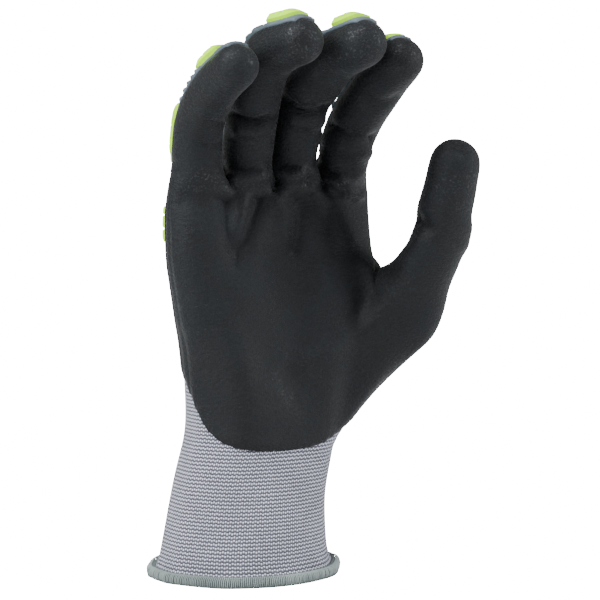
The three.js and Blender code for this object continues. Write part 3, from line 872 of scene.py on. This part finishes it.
def makeFingerSheet(name):
    gv = guardValues
    start, end = gv["fingerSpan"]
    rows = np.linspace(start, end, 150)
    near, far = gv["ringReach" if name == "ring" else "fingerReach"]
    first, last = gv["fingerBack"] - near, gv["fingerBack"] + far
    columns = np.linspace(first, last, 25)

    def outer(row, column):
        inward = np.min([column - first, last - column, row - start, end - row], axis=0)
        edge = rounded(np.clip(inward / gv["fingerBevel"], 0, 1))
        ribs = sum(np.exp(-(((row - spot) / gv["ribHalf"]) ** 4)) for spot in gv["ribs"])
        return gv["underFinger"] + edge * (gv["sheetWall"] + gv["ribHeight"] * ribs)

    points, faces = gridSheet(name, rows, columns, gv["underFinger"] - gv["fingerSink"], outer)
    return addPiece(f"fingerSheet_{name}", points, faces)


def spacedPlaces(total, low, high, count):
    # Shares from -1 to 1 along a length in mm, with lines where its two bevels end
    inner = np.linspace(low, total - high, count)
    return np.concatenate([[0, low / 2], inner, [total - high / 2, total]]) / total * 2 - 1


def makePad(title, part, rows, columns, foot, height):
    # A moulded block: bevelled sides and ends, corners cut in plan and shallow grooves across
    gv = guardValues
    middle = np.full(40, sum(columns) / 2)
    spine = skinPlace(part, np.linspace(*rows, 40), middle)[0]
    length = np.linalg.norm(np.diff(spine, axis=0), axis=1).sum()
    width = np.linalg.norm(np.subtract(*skinPlace(part, np.full(2, sum(rows) / 2), np.array(columns))[0]))
    high = gv["highBevels"][title.split("_")[0]]
    along = spacedPlaces(length, gv["lowBevel"], high, 48)
    across = spacedPlaces(width, gv["sideBevel"], gv["sideBevel"], 22)
    s, t = np.meshgrid(along, across, indexing="ij")
    rowHalf, columnHalf = (rows[1] - rows[0]) / 2, (columns[1] - columns[0]) / 2
    rowGrid = sum(rows) / 2 + rowHalf * s
    corner = np.clip((np.abs(s) - gv["cornerFrom"]) / (1 - gv["cornerFrom"]), 0, 1)
    columnGrid = sum(columns) / 2 + columnHalf * t * (1 - gv["cornerCut"] * corner)
    place, direction = skinPlace(part, rowGrid, columnGrid)
    edges = [
        (1 + s) * length / 2 / gv["lowBevel"],
        (1 - s) * length / 2 / high,
        (1 - np.abs(t)) * width / 2 / gv["sideBevel"],
    ]
    edge = np.clip(np.min(edges, axis=0), 0, 1)
    grooves = max(1, int(round(length / gv["grooveSpacing"])))
    spots = np.linspace(-1, 1, grooves + 2)[1:-1]
    groove = sum(np.exp(-(((s - spot) * length / 2 / gv["grooveHalf"]) ** 4)) for spot in spots)
    rise = height * (gv["padShoulder"] + (1 - gv["padShoulder"]) * edge) - gv["grooveDepth"] * groove * edge
    top = place + direction * (foot + rise)[..., None]
    points, faces = closeSheet(top, place + direction * (foot - gv["padSink"]))
    pad = addPiece(title, points, faces)
    pad.data.set_sharp_from_angle(angle=radians(gv["sharpAngle"]))
    return pad


def makeHandSheet():
    gv = guardValues
    start, end = gv["handRows"]
    first, last = gv["handAround"]
    rowBevel, columnBevel = gv["handBevels"]
    knuckleStart = gv["padRows"]["knucklePad"][0] - gv["knuckleLead"]

    def outer(row, column):
        # reaches farther round beside the knuckles
        knuckle = np.clip((row - knuckleStart) / gv["knuckleBlend"], 0, 1)
        reach = gv["handReach"] + (last - gv["handReach"]) * knuckle
        ends = np.minimum(row - start, end - row) / rowBevel
        beside = np.minimum(column - first, reach - column) / columnBevel
        edge = np.clip(np.minimum(ends, beside), 0, 1)
        foot = gv["handLift"] * np.clip(edge * 6, 0, 1) - gv["handEdge"]
        return foot + gv["handWall"] * rounded(edge)

    rows, columns = np.linspace(start, end, 90), np.linspace(first, last, 110)
    points, faces = gridSheet("palm", rows, columns, -gv["handSink"], outer)
    return addPiece("handSheet", points, faces)


fingerSheets, fingerPads, handPads = {}, {}, {}
padFoot = guardValues["underFinger"] + guardValues["sheetWall"]
handFoot = guardValues["underHand"] + guardValues["handWall"]
for number, name in enumerate(fingerNames):
    gv = guardValues
    fingerSheets[name] = makeFingerSheet(name)
    for label, rows in (("rootPad", gv["rootPad"]), ("tipPad", gv["tipPads"][name])):
        near, far = gv["littleReach"] if name == "pinky" else gv["fingerPadReach"][label]
        span = (gv["fingerBack"] - near, gv["fingerBack"] + far)
        fingerPads[label, name] = makePad(f"{label}_{name}", name, rows, span, padFoot, gv["padHeight"])
    middle = backColumn(2 * number + 1)
    for label in ("knucklePad", "handPad"):
        first = max(middle - gv["padReach"][label], gv["handAround"][0] + gv["padInset"])
        span = (first, min(middle + gv["padReach"][label], gv["padEnds"][label]))
        title, rows = f"{label}_{name}", gv["padRows"][label]
        handPads[label, name] = makePad(title, "palm", rows, span, handFoot, gv["handPadHeight"])
handSheet = makeHandSheet()
print("guards made")

# Folded hem at the wrist
hemValues = {
    "foot": 0.3,
    "height": 4.3,
    "wall": 1.1,
    "gap": 0.35,
    "edgeBack": 0.55,
    "edgeSwell": 0.9,
    "innerSwell": 0.6,
    "slotDepth": 0.9,
    "threads": 310,
    "threadRadius": 0.22,
    "threadSlant": 0.2,
    "threadBulge": 2.5,
    "threadSink": 0.75,
    "threadReach": 0.49,  # share of the hem's height to each side of its middle
    "threadScale": [(0.9, 0.9, 0.96), (1.1, 1.12, 1.03)],
    "strandSteps": 8,
    "strandSides": 5,
    "seed": 4,
}


def hemRing(offset, height):
    # Points round the cuff at an offset from the knit and a height
    columns = np.arange(0, gridSizes["palm"][1], 1 / fineStep)
    place, direction = skinPlace("palm", 0 * columns, columns)
    upper = skinPlace("palm", 0 * columns + 1, columns)[0]
    level = direction * (1, 1, 0)
    level /= np.linalg.norm(level, axis=1)[:, None]
    share = ((height - place[:, 2]) / (upper[:, 2] - place[:, 2]))[:, None]
    return place * (1 - share) + upper * share + level * offset


def makeHem():
    hv = hemValues
    outside = hv["gap"] + hv["wall"] - hv["edgeBack"]
    inside = hv["innerSwell"] - knitValues["wall"] - hv["gap"] - hv["wall"]

    def heightAt(turn):
        return hv["foot"] + hv["height"] * (0.5 + 0.5 * sin(radians(turn)))

    section = []
    for turn in np.linspace(90, 270, 13):
        section.append((outside - hv["edgeSwell"] * cos(radians(turn)), heightAt(turn)))
    for turn in np.linspace(270, 450, 9):
        section.append((inside - hv["innerSwell"] * cos(radians(turn)), heightAt(turn)))
    section.append((-knitValues["wall"] / 2, hv["height"] - hv["slotDepth"]))
    rings = np.array([hemRing(offset, height) for offset, height in section])
    count = rings.shape[1]
    faces = []
    for k in range(len(section)):
        ring, following = k * count, (k + 1) % len(section) * count
        for n in range(count):
            beside = (n + 1) % count
            faces.append((ring + n, ring + beside, following + beside, following + n))
    return addPiece("wristHem", rings.reshape(-1, 3), faces)


def makeThreadTree():
    # Threads wound over the edge: each is a bent strand standing on a ring round the cuff
    hv = hemValues
    tree = bpy.data.node_groups.new("hemThreads", "GeometryNodeTree")
    nodeInput(tree, "Ring", "NodeSocketGeometry", None)
    nodeInput(tree, "Threads", "NodeSocketInt", hv["threads"])
    nodeInput(tree, "Thread radius", "NodeSocketFloat", hv["threadRadius"] * millimetre)
    nodeInput(tree, "Height", "NodeSocketFloat", hv["height"] * millimetre)
    nodeInput(tree, "Bulge", "NodeSocketFloat", hv["threadBulge"] * millimetre)
    nodeInput(tree, "Slant", "NodeSocketFloat", hv["threadSlant"] * millimetre)
    nodeInput(tree, "Seed", "NodeSocketInt", hv["seed"])
    materialInput = nodeInput(tree, "Material", "NodeSocketMaterial", None)
    tree.interface.new_socket("Threads", in_out="OUTPUT", socket_type="NodeSocketGeometry")
    given = addNode(tree, "NodeGroupInput").outputs

    def corner(x, y, z):
        return addNode(tree, "ShaderNodeCombineXYZ", {"X": x, "Y": y, "Z": z}).outputs[0]

    high = calc(tree, "MULTIPLY", given["Height"], hv["threadReach"])
    low = calc(tree, "MULTIPLY", given["Height"], -hv["threadReach"])
    out = calc(tree, "MULTIPLY", given["Bulge"], -1.0)
    slant, back = given["Slant"], calc(tree, "MULTIPLY", given["Slant"], -1.0)
    bend = {
        "Resolution": hv["strandSteps"],
        "Start": corner(slant, 0.0, high),
        "Start Handle": corner(slant, out, high),
        "End Handle": corner(back, out, low),
        "End": corner(back, 0.0, low),
    }
    strand = addNode(tree, "GeometryNodeCurvePrimitiveBezierSegment", bend).outputs[0]
    section = {"Resolution": hv["strandSides"], "Radius": given["Thread radius"]}
    profile = addNode(tree, "GeometryNodeCurvePrimitiveCircle", section).outputs[0]
    tube = addNode(tree, "GeometryNodeCurveToMesh", {"Curve": strand, "Profile Curve": profile}).outputs[0]
    ring = addNode(tree, "GeometryNodeMeshToCurve", {"Mesh": given["Ring"]}).outputs[0]
    spots = addNode(tree, "GeometryNodeCurveToPoints", {"Curve": ring, "Count": given["Threads"]}).outputs
    tangent = {"Vector": spots["Tangent"]}
    turn = addNode(tree, "FunctionNodeAlignEulerToVector", tangent, axis="X", pivot_axis="Z").outputs[0]
    least, most = hv["threadScale"]
    sizes = {"Min": least, "Max": most, "Seed": given["Seed"]}
    scale = addNode(tree, "FunctionNodeRandomValue", sizes, data_type="FLOAT_VECTOR").outputs[0]
    stand = {"Points": spots["Points"], "Instance": tube, "Rotation": turn, "Scale": scale}
    placed = addNode(tree, "GeometryNodeInstanceOnPoints", stand).outputs[0]
    real = addNode(tree, "GeometryNodeRealizeInstances", {"Geometry": placed}).outputs[0]
    smooth = addNode(tree, "GeometryNodeSetShadeSmooth", {"Geometry": real}).outputs[0]
    dress = {"Geometry": smooth, "Material": given["Material"]}
    dressed = addNode(tree, "GeometryNodeSetMaterial", dress).outputs[0]
    addNode(tree, "NodeGroupOutput", {"Threads": dressed})
    return tree, materialInput


def makeThreads(finish):
    hv = hemValues
    tree, materialInput = makeThreadTree()
    ring = hemRing(hv["gap"] + hv["wall"] - hv["threadSink"], hv["foot"] + hv["height"] / 2)
    mesh = bpy.data.meshes.new("hemRing")
    count = len(ring)
    mesh.from_pydata((ring * millimetre).tolist(), [(n, (n + 1) % count) for n in range(count)], [])
    holder = addObject("hemRing", mesh)
    modifier = holder.modifiers.new("threads", "NODES")
    modifier.node_group = tree
    modifier[materialInput] = finish
    return addObject("hemThreads", bakedMesh(holder))


wristHem = makeHem()
print("hem made")

# Effects that the finishes share
grainValues = {
    "grain": 2600.0,
    "grainDetail": (3.0, 0.6),
    "pores": 900.0,
    "poreEdge": (0.05, 0.32),
    "poreDepth": 0.4,
    "tone": 55.0,
    "toneDetail": (3.0, 0.55),
}
loopValues = {
    "slant": 0.11,
    "wobbleScale": 0.7,
    "wobble": 0.3,  # courses from the lowest noise to the highest
    "stripeEdge": (-0.4, 0.6),
    "ridgePower": 0.6,
    "legDepth": 0.6,
}


def newGroup(name, inputs, outputs):
    tree = bpy.data.node_groups.new(name, "ShaderNodeTree")
    for label, value in inputs.items():
        nodeInput(tree, label, "NodeSocketVector" if value is None else "NodeSocketFloat", value)
    for label in outputs:
        tree.interface.new_socket(label, in_out="OUTPUT", socket_type="NodeSocketFloat")
    return tree, addNode(tree, "NodeGroupInput").outputs


def noise(tree, vector, scale, detail=2.0, roughness=0.5):
    inputs = {"Vector": vector, "Scale": scale, "Detail": detail, "Roughness": roughness}
    return addNode(tree, "ShaderNodeTexNoise", inputs).outputs[0]


def ramp(tree, value, low, high, toLow=0.0, toHigh=1.0):
    inputs = {"Value": value, "From Min": low, "From Max": high, "To Min": toLow, "To Max": toHigh}
    return addNode(tree, "ShaderNodeMapRange", inputs, interpolation_type="SMOOTHSTEP").outputs[0]


def makeGrainGroup():
    # Fine surface grain with scattered pores and a slow change of tone
    gv = grainValues
    inputs = {"Place": None, "Grain": gv["grain"], "Pore": gv["pores"]}
    tree, given = newGroup("surfaceGrain", inputs, ["Height", "Pores", "Tone"])
    fine = noise(tree, given["Place"], given["Grain"], *gv["grainDetail"])
    cells = {"Vector": given["Place"], "Scale": given["Pore"]}
    distance = addNode(tree, "ShaderNodeTexVoronoi", cells).outputs["Distance"]
    pores = ramp(tree, distance, *gv["poreEdge"])
    tone = noise(tree, given["Place"], gv["tone"], *gv["toneDetail"])
    dents = calc(tree, "MULTIPLY", pores, gv["poreDepth"])
    height = calc(tree, "MULTIPLY_ADD", fine, 1 - gv["poreDepth"], dents)
    addNode(tree, "NodeGroupOutput", {"Height": height, "Pores": pores, "Tone": tone})
    return tree


def makeLoopGroup():
    # Knitted loops on stitch and course numbers: V-shaped stitches, one light course and one dark
    lv = loopValues
    tree, given = newGroup("knitLoops", {"Weave": None, "Slant": lv["slant"]}, ["Stripe", "Height", "Dots"])
    parts = addNode(tree, "ShaderNodeSeparateXYZ", {0: given["Weave"]}).outputs
    wobble = calc(tree, "SUBTRACT", noise(tree, given["Weave"], lv["wobbleScale"]), 0.5)
    wave = calc(tree, "SINE", calc(tree, "MULTIPLY", parts["X"], 2 * pi))
    zigzag = calc(tree, "MULTIPLY_ADD", wave, given["Slant"], parts["Y"])
    course = calc(tree, "MULTIPLY_ADD", wobble, lv["wobble"], zigzag)
    turn = calc(tree, "SINE", calc(tree, "MULTIPLY", course, 2 * pi))
    stripe = ramp(tree, turn, *lv["stripeEdge"])
    legs = calc(tree, "ABSOLUTE", wave)
    ridge = calc(tree, "POWER", calc(tree, "ABSOLUTE", turn), lv["ridgePower"])
    swell = calc(tree, "MULTIPLY_ADD", legs, lv["legDepth"], 1 - lv["legDepth"])
    height = calc(tree, "MULTIPLY", ridge, swell)
    addNode(tree, "NodeGroupOutput", {"Stripe": stripe, "Height": height, "Dots": legs})
    return tree


surfaceGrain = makeGrainGroup()
knitLoops = makeLoopGroup()
print("shared effects made")

# Finishes. A look's plain values go to the shader's own sockets, and its bumps are strength and metres
knitLook = {
    "plain": {"Roughness": 0.9, "Sheen Weight": 0.15, "Sheen Roughness": 0.4},
    "grain": 3500.0,
    "pores": 1500.0,
    "light": (0.84, 0.83, 1.0, 1),
    "dark": (0.095, 0.092, 0.112, 1),
    # painted shade: the knit is darker between the legs of the stitches
    "stitchGapShade": (0.2, 0.95),
    "tone": (0.3, 0.7, 0.88, 1.0),
    "fuzzBump": (0.25, 0.0002),
    "loopBump": (0.9, 0.0005),
}
coatLook = {
    "plain": {
        "Roughness": 0.6,
        "Sheen Weight": 0.1,
        "Sheen Roughness": 0.35,
        "Specular IOR Level": 0.24,
        "Coat Roughness": 0.38,
    },
    "grain": 1500.0,
    "pores": 1000.0,
    "deep": (0.0014, 0.0018, 0.0026, 1),
    "light": (0.0054, 0.0068, 0.0088, 1),
    "tone": (0.3, 0.72),
    # painted shade: the coat is darker in its pores and in its wrinkles
    "porePaintedShade": (0.0, 1.0, 0.5, 1.0),
    "stretch": (1.0, 1.0, 2.2),
    "wrinkles": (480.0, 4.0, 0.62),
    "wrinklePaintedShade": (0.35, 0.65, 0.7, 1.0),
    # painted shade: the coat is darker low down, towards the cuff
    "cuffPaintedShade": (0.05, 0.13, 0.4, 1.0),  # from and to in metres, as in the next three
    "tipGloss": (0.2, 0.218),
    "rootGlossStart": (0.154, 0.161),
    "rootGlossEnd": (0.164, 0.171, 1.0, 0.0),
    "rootPatches": (0.4, 0.55),
    "specks": 1250.0,
    "speckEdge": (0.54, 0.68),
    "patches": 60.0,
    "wornGloss": (0.5, 0.64, 0.0, 0.45),
    "gloss": 0.5,
    "roughness": (0.25, 0.75, 0.5, 0.66),
    "loopBump": (0.25, 0.0003),
    "wrinkleBump": (0.75, 0.0007),
    "grainBump": (0.7, 0.0003),
}
rubberLook = {
    "grain": 1900.0,
    "pores": 700.0,
    "tone": (0.25, 0.75),
    "roughness": (0.3, 0.7, 0.52, 0.68),
    "grainBump": (0.2, 0.0002),
}
slateLook = {
    **rubberLook,
    "plain": {"Roughness": 0.6, "Specular IOR Level": 0.4, "Emission Strength": 0.0},
    "deep": (0.062, 0.082, 0.1, 1),
    "light": (0.12, 0.15, 0.175, 1),
}
brightGlowLook = {
    **rubberLook,
    # painted glow: the bright rubber gives off a little light in its own light colour
    "plain": {"Roughness": 0.6, "Specular IOR Level": 0.05, "Emission Strength": 0.06},
    "deep": (0.44, 0.85, 0.0, 1),
    "light": (0.52, 1.0, 0.0, 1),
}
threadLook = {
    "plain": {"Roughness": 0.9, "Sheen Weight": 0.1, "Sheen Roughness": 0.4},
    "grain": 3800.0,
    "pores": 1600.0,
    "deep": (0.055, 0.068, 0.066, 1),
    "light": (0.30, 0.345, 0.335, 1),
    # painted shade: the threads are darker towards the bottom
    "lift": (-0.001, 0.0026),  # darker below, between these heights in metres
    "tone": (0.3, 0.7),
    "toneShare": 0.3,
    "grainBump": (0.35, 0.0002),
}
# painted shade: the folded edge under the threads is darker than the threads and darker towards its bottom,
# for the shade between and under them
hemPaintedShadeLook = {**threadLook, "light": (0.1, 0.12, 0.115, 1), "lift": (0.0018, 0.0046)}


def groupNode(tree, group, **inputs):
    return addNode(tree, "ShaderNodeGroup", inputs, node_tree=group).outputs


def startFinish(name, look):
    material = bpy.data.materials.new(name)
    material.use_nodes = True
    tree = material.node_tree
    shader = tree.nodes["Principled BSDF"].inputs
    for label, value in look["plain"].items():
        shader[label].default_value = value
    place = addNode(tree, "ShaderNodeTexCoord").outputs["Object"]
    grain = groupNode(tree, surfaceGrain, Place=place, Grain=look["grain"], Pore=look["pores"])
    return material, tree, shader, place, grain


def addLoops(tree):
    weave = addNode(tree, "ShaderNodeUVMap", uv_map="weave").outputs[0]
    return groupNode(tree, knitLoops, Weave=weave)


def blendColors(tree, share, first, second):
    return addNode(tree, "ShaderNodeMix", {0: share, 6: first, 7: second}, data_type="RGBA").outputs[2]


def bump(tree, height, strength, distance, under=None):
    inputs = {"Height": height, "Strength": strength, "Distance": distance}
    if under is not None:
        inputs["Normal"] = under
    return addNode(tree, "ShaderNodeBump", inputs).outputs[0]


def makeKnitFinish():
    look = knitLook
    material, tree, shader, place, grain = startFinish("stripedKnit", look)
    loops = addLoops(tree)
    color = blendColors(tree, loops["Stripe"], look["dark"], look["light"])
    # painted shade: darker between the legs of the stitches
    color = blendColors(tree, ramp(tree, loops["Dots"], *look["stitchGapShade"]), look["dark"], color)
    color = blendColors(tree, ramp(tree, grain["Tone"], *look["tone"]), (0, 0, 0, 1), color)
    tree.links.new(color, shader["Base Color"])
    fuzz = bump(tree, grain["Height"], *look["fuzzBump"])
    tree.links.new(bump(tree, loops["Height"], *look["loopBump"], fuzz), shader["Normal"])
    return material


def makeCoatFinish():
    look = coatLook
    material, tree, shader, place, grain = startFinish("foamCoat", look)
    loops = addLoops(tree)
    height = addNode(tree, "ShaderNodeSeparateXYZ", {0: place}).outputs["Z"]
    streaks = addNode(tree, "ShaderNodeMapping", {"Vector": place, "Scale": look["stretch"]}).outputs[0]
    wrinkles = noise(tree, streaks, *look["wrinkles"])

    # lighter where the tone is high; painted shade makes it darker in pores, in wrinkles and towards the
    # cuff
    share = ramp(tree, grain["Tone"], *look["tone"])
    share = calc(tree, "MULTIPLY", share, ramp(tree, grain["Pores"], *look["porePaintedShade"]))
    share = calc(tree, "MULTIPLY", share, ramp(tree, wrinkles, *look["wrinklePaintedShade"]))
    # painted shade: darker towards the cuff, by height
    share = calc(tree, "MULTIPLY", share, ramp(tree, height, *look["cuffPaintedShade"]))
    tree.links.new(blendColors(tree, share, look["deep"], look["light"]), shader["Base Color"])

    # glossy specks in worn patches, on the fingertips and across the roots of the fingers
    patches = noise(tree, place, look["patches"])
    roots = ramp(tree, height, *look["rootGlossStart"])
    roots = calc(tree, "MULTIPLY", roots, ramp(tree, height, *look["rootGlossEnd"]))
    roots = calc(tree, "MULTIPLY", roots, ramp(tree, patches, *look["rootPatches"]))
    gloss = ramp(tree, patches, *look["wornGloss"])
    gloss = calc(tree, "MAXIMUM", gloss, ramp(tree, height, *look["tipGloss"]))
    gloss = calc(tree, "MAXIMUM", gloss, roots)
    specks = ramp(tree, noise(tree, place, look["specks"]), *look["speckEdge"])
    gloss = calc(tree, "MULTIPLY", specks, gloss)
    tree.links.new(calc(tree, "MULTIPLY", gloss, look["gloss"]), shader["Coat Weight"])

    tree.links.new(ramp(tree, grain["Tone"], *look["roughness"]), shader["Roughness"])
    under = bump(tree, loops["Height"], *look["loopBump"])
    creased = bump(tree, wrinkles, *look["wrinkleBump"], under)
    tree.links.new(bump(tree, grain["Height"], *look["grainBump"], creased), shader["Normal"])
    return material


def makeRubberFinish(name, look):
    material, tree, shader, place, grain = startFinish(name, look)
    # emission in the rubber's light colour; where its strength is above zero, as on the bright rubber, this
    # is a painted glow
    shader["Emission Color"].default_value = look["light"]
    share = ramp(tree, grain["Tone"], *look["tone"])
    tree.links.new(blendColors(tree, share, look["deep"], look["light"]), shader["Base Color"])
    tree.links.new(ramp(tree, grain["Tone"], *look["roughness"]), shader["Roughness"])
    tree.links.new(bump(tree, grain["Height"], *look["grainBump"]), shader["Normal"])
    return material


def makeThreadFinish(name, look):
    material, tree, shader, place, grain = startFinish(name, look)
    height = addNode(tree, "ShaderNodeSeparateXYZ", {0: place}).outputs["Z"]
    # painted shade: darker towards the bottom, by height
    lift = calc(tree, "MULTIPLY", ramp(tree, height, *look["lift"]), 1 - look["toneShare"])
    share = calc(tree, "MULTIPLY_ADD", ramp(tree, grain["Tone"], *look["tone"]), look["toneShare"], lift)
    tree.links.new(blendColors(tree, share, look["deep"], look["light"]), shader["Base Color"])
    tree.links.new(bump(tree, grain["Height"], *look["grainBump"]), shader["Normal"])
    return material


knitFinish = makeKnitFinish()
coatFinish = makeCoatFinish()
hemFinish = makeThreadFinish("foldedEdge", hemPaintedShadeLook)
threadFinish = makeThreadFinish("overlockThread", threadLook)
slateFinish = makeRubberFinish("slateRubber", slateLook)
brightFinish = makeRubberFinish("brightRubber", brightGlowLook)
hemThreads = makeThreads(threadFinish)
print("finishes made")


def settle(piece, finish, nodes):
    piece.data.materials.clear()
    piece.data.materials.append(finish)
    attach(piece, "root")
    if nodes:
        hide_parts(*nodes)


settle(knitBody, knitFinish, ["knit_hand", *(f"knit_{name}" for name in digitTable)])
settle(dippedCoat, coatFinish, ["palm_coating"])
settle(wristHem, hemFinish, ["cuff_binding"])
settle(hemThreads, threadFinish, [])
settle(handSheet, slateFinish, ["hand_guard_base"])
for name in fingerNames:
    settle(fingerSheets[name], slateFinish, [f"guard_base_{name}"])
    settle(fingerPads["rootPad", name], brightFinish, [f"guard_pad_{name}_root"])
    settle(fingerPads["tipPad", name], brightFinish, [f"guard_pad_{name}_tip"])
    settle(handPads["knucklePad", name], brightFinish, [f"knuckle_pad_{name}"])
    settle(handPads["handPad", name], brightFinish, [f"hand_pad_{name}"])
print("finishes set")
